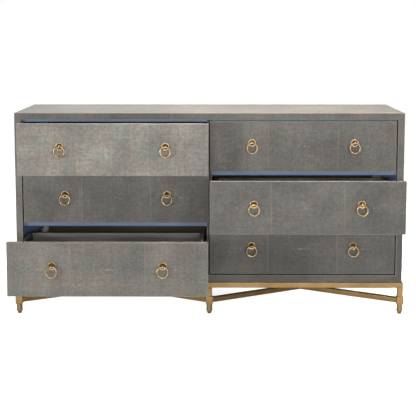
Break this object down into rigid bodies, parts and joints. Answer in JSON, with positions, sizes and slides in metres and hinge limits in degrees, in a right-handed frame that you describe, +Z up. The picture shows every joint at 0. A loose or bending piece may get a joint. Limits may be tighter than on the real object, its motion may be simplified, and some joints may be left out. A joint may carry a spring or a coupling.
{
  "type": "double dresser",
  "caption": "Wide chest of drawers: pebbled wrapped case, drawers on telescopic runners with hanging ring pulls, on a square-tube metal base with crossed stretchers.",
  "frame": {"origin": "on the floor, at the middle of the front centre foot's glide", "axes": "+X to the right seen from the front, +Y to the back, +Z up; drawers slide out along -Y"},
  "size_m": [1.53, 0.8282, 0.795],
  "materials": {
    "shagreen_wrap": "fine pebbled faux shagreen over board, satin",
    "case_interior": "slate grey-blue paint, satin",
    "back_board": "dark brown stained board",
    "drawer_lining": "grey painted drawer box, matt",
    "brushed_gold": "brushed gold plating, satin",
    "runner_steel": "black electro-coated steel",
    "black_glide": "black moulded plastic"
  },
  "bodies": {
    "case": {"top_panel": "shagreen_wrap", "bottom_panel": "shagreen_wrap", "left_side_panel": "shagreen_wrap", "right_side_panel": "shagreen_wrap", "back_panel": "back_board", "centre_divider": "case_interior", "drawer_rails": "case_interior", "left_rear_cleat": "case_interior", "right_rear_cleat": "case_interior", "case_runners": "runner_steel", "base_rails": "brushed_gold", "leg_posts": "brushed_gold", "leg_collars": "brushed_gold", "leg_feet": "brushed_gold", "floor_glides": "black_glide", "x_stretchers": "brushed_gold", "base_spacers": "black_glide"},
    "bottom_left_drawer": {"bottom_left_drawer_front": "shagreen_wrap", "bottom_left_drawer_box": "drawer_lining", "bottom_left_pull_rosettes": "brushed_gold", "bottom_left_drawer_runners": "runner_steel"},
    "bottom_left_runners": {"bottom_left_intermediate_runners": "runner_steel"},
    "bottom_left_ring_left": {"bottom_left_ring_left": "brushed_gold"},
    "bottom_left_ring_right": {"bottom_left_ring_right": "brushed_gold"},
    "middle_left_drawer": {"middle_left_drawer_front": "shagreen_wrap", "middle_left_drawer_box": "drawer_lining", "middle_left_pull_rosettes": "brushed_gold", "middle_left_drawer_runners": "runner_steel"},
    "middle_left_runners": {"middle_left_intermediate_runners": "runner_steel"},
    "middle_left_ring_left": {"middle_left_ring_left": "brushed_gold"},
    "middle_left_ring_right": {"middle_left_ring_right": "brushed_gold"},
    "top_left_drawer": {"top_left_drawer_front": "shagreen_wrap", "top_left_drawer_box": "drawer_lining", "top_left_pull_rosettes": "brushed_gold", "top_left_drawer_runners": "runner_steel"},
    "top_left_runners": {"top_left_intermediate_runners": "runner_steel"},
    "top_left_ring_left": {"top_left_ring_left": "brushed_gold"},
    "top_left_ring_right": {"top_left_ring_right": "brushed_gold"},
    "bottom_right_drawer": {"bottom_right_drawer_front": "shagreen_wrap", "bottom_right_drawer_box": "drawer_lining", "bottom_right_pull_rosettes": "brushed_gold", "bottom_right_drawer_runners": "runner_steel"},
    "bottom_right_runners": {"bottom_right_intermediate_runners": "runner_steel"},
    "bottom_right_ring_left": {"bottom_right_ring_left": "brushed_gold"},
    "bottom_right_ring_right": {"bottom_right_ring_right": "brushed_gold"},
    "middle_right_drawer": {"middle_right_drawer_front": "shagreen_wrap", "middle_right_drawer_box": "drawer_lining", "middle_right_pull_rosettes": "brushed_gold", "middle_right_drawer_runners": "runner_steel"},
    "middle_right_runners": {"middle_right_intermediate_runners": "runner_steel"},
    "middle_right_ring_left": {"middle_right_ring_left": "brushed_gold"},
    "middle_right_ring_right": {"middle_right_ring_right": "brushed_gold"},
    "top_right_drawer": {"top_right_drawer_front": "shagreen_wrap", "top_right_drawer_box": "drawer_lining", "top_right_pull_rosettes": "brushed_gold", "top_right_drawer_runners": "runner_steel"},
    "top_right_runners": {"top_right_intermediate_runners": "runner_steel"},
    "top_right_ring_left": {"top_right_ring_left": "brushed_gold"},
    "top_right_ring_right": {"top_right_ring_right": "brushed_gold"}
  },
  "joints": [
    {"name": "bottom_left_drawer_slide", "type": "slide", "parent": "case", "child": "bottom_left_drawer", "axis": [0, -1, 0], "range_m": [-0.35, 0.04]},
    {"name": "bottom_left_runners_slide", "type": "slide", "parent": "case", "child": "bottom_left_runners", "axis": [0, -1, 0], "range_m": [-0.175, 0.02]},
    {"name": "bottom_left_ring_left_swing", "type": "hinge", "parent": "bottom_left_drawer", "child": "bottom_left_ring_left", "pos_m": [-0.56331, -0.373, 0.27275], "axis": [-1, 0, 0], "range_deg": [-18, 198]},
    {"name": "bottom_left_ring_right_swing", "type": "hinge", "parent": "bottom_left_drawer", "child": "bottom_left_ring_right", "pos_m": [-0.16531, -0.373, 0.27275], "axis": [-1, 0, 0], "range_deg": [-18, 198]},
    {"name": "middle_left_drawer_slide", "type": "slide", "parent": "case", "child": "middle_left_drawer", "axis": [0, -1, 0], "range_m": [0, 0.39]},
    {"name": "middle_left_runners_slide", "type": "slide", "parent": "case", "child": "middle_left_runners", "axis": [0, -1, 0], "range_m": [0, 0.195]},
    {"name": "middle_left_ring_left_swing", "type": "hinge", "parent": "middle_left_drawer", "child": "middle_left_ring_left", "pos_m": [-0.56331, -0.023, 0.4755], "axis": [-1, 0, 0], "range_deg": [-18, 198]},
    {"name": "middle_left_ring_right_swing", "type": "hinge", "parent": "middle_left_drawer", "child": "middle_left_ring_right", "pos_m": [-0.16531, -0.023, 0.4755], "axis": [-1, 0, 0], "range_deg": [-18, 198]},
    {"name": "top_left_drawer_slide", "type": "slide", "parent": "case", "child": "top_left_drawer", "axis": [0, -1, 0], "range_m": [-0.125, 0.265]},
    {"name": "top_left_runners_slide", "type": "slide", "parent": "case", "child": "top_left_runners", "axis": [0, -1, 0], "range_m": [-0.0625, 0.1325]},
    {"name": "top_left_ring_left_swing", "type": "hinge", "parent": "top_left_drawer", "child": "top_left_ring_left", "pos_m": [-0.56331, -0.148, 0.67825], "axis": [-1, 0, 0], "range_deg": [-18, 198]},
    {"name": "top_left_ring_right_swing", "type": "hinge", "parent": "top_left_drawer", "child": "top_left_ring_right", "pos_m": [-0.16531, -0.148, 0.67825], "axis": [-1, 0, 0], "range_deg": [-18, 198]},
    {"name": "bottom_right_drawer_slide", "type": "slide", "parent": "case", "child": "bottom_right_drawer", "axis": [0, -1, 0], "range_m": [0, 0.39]},
    {"name": "bottom_right_runners_slide", "type": "slide", "parent": "case", "child": "bottom_right_runners", "axis": [0, -1, 0], "range_m": [0, 0.195]},
    {"name": "bottom_right_ring_left_swing", "type": "hinge", "parent": "bottom_right_drawer", "child": "bottom_right_ring_left", "pos_m": [0.16531, -0.023, 0.27275], "axis": [-1, 0, 0], "range_deg": [-18, 198]},
    {"name": "bottom_right_ring_right_swing", "type": "hinge", "parent": "bottom_right_drawer", "child": "bottom_right_ring_right", "pos_m": [0.56331, -0.023, 0.27275], "axis": [-1, 0, 0], "range_deg": [-18, 198]},
    {"name": "middle_right_drawer_slide", "type": "slide", "parent": "case", "child": "middle_right_drawer", "axis": [0, -1, 0], "range_m": [-0.226, 0.164]},
    {"name": "middle_right_runners_slide", "type": "slide", "parent": "case", "child": "middle_right_runners", "axis": [0, -1, 0], "range_m": [-0.113, 0.082]},
    {"name": "middle_right_ring_left_swing", "type": "hinge", "parent": "middle_right_drawer", "child": "middle_right_ring_left", "pos_m": [0.16531, -0.249, 0.4755], "axis": [-1, 0, 0], "range_deg": [-18, 198]},
    {"name": "middle_right_ring_right_swing", "type": "hinge", "parent": "middle_right_drawer", "child": "middle_right_ring_right", "pos_m": [0.56331, -0.249, 0.4755], "axis": [-1, 0, 0], "range_deg": [-18, 198]},
    {"name": "top_right_drawer_slide", "type": "slide", "parent": "case", "child": "top_right_drawer", "axis": [0, -1, 0], "range_m": [0, 0.39]},
    {"name": "top_right_runners_slide", "type": "slide", "parent": "case", "child": "top_right_runners", "axis": [0, -1, 0], "range_m": [0, 0.195]},
    {"name": "top_right_ring_left_swing", "type": "hinge", "parent": "top_right_drawer", "child": "top_right_ring_left", "pos_m": [0.16531, -0.023, 0.67825], "axis": [-1, 0, 0], "range_deg": [-18, 198]},
    {"name": "top_right_ring_right_swing", "type": "hinge", "parent": "top_right_drawer", "child": "top_right_ring_right", "pos_m": [0.56331, -0.023, 0.67825], "axis": [-1, 0, 0], "range_deg": [-18, 198]}
  ],
  "couplings": [
    {"joint": "bottom_left_runners_slide", "follows": "bottom_left_drawer_slide", "ratio": 0.5},
    {"joint": "middle_left_runners_slide", "follows": "middle_left_drawer_slide", "ratio": 0.5},
    {"joint": "top_left_runners_slide", "follows": "top_left_drawer_slide", "ratio": 0.5},
    {"joint": "bottom_right_runners_slide", "follows": "bottom_right_drawer_slide", "ratio": 0.5},
    {"joint": "middle_right_runners_slide", "follows": "middle_right_drawer_slide", "ratio": 0.5},
    {"joint": "top_right_runners_slide", "follows": "top_right_drawer_slide", "ratio": 0.5}
  ]
}
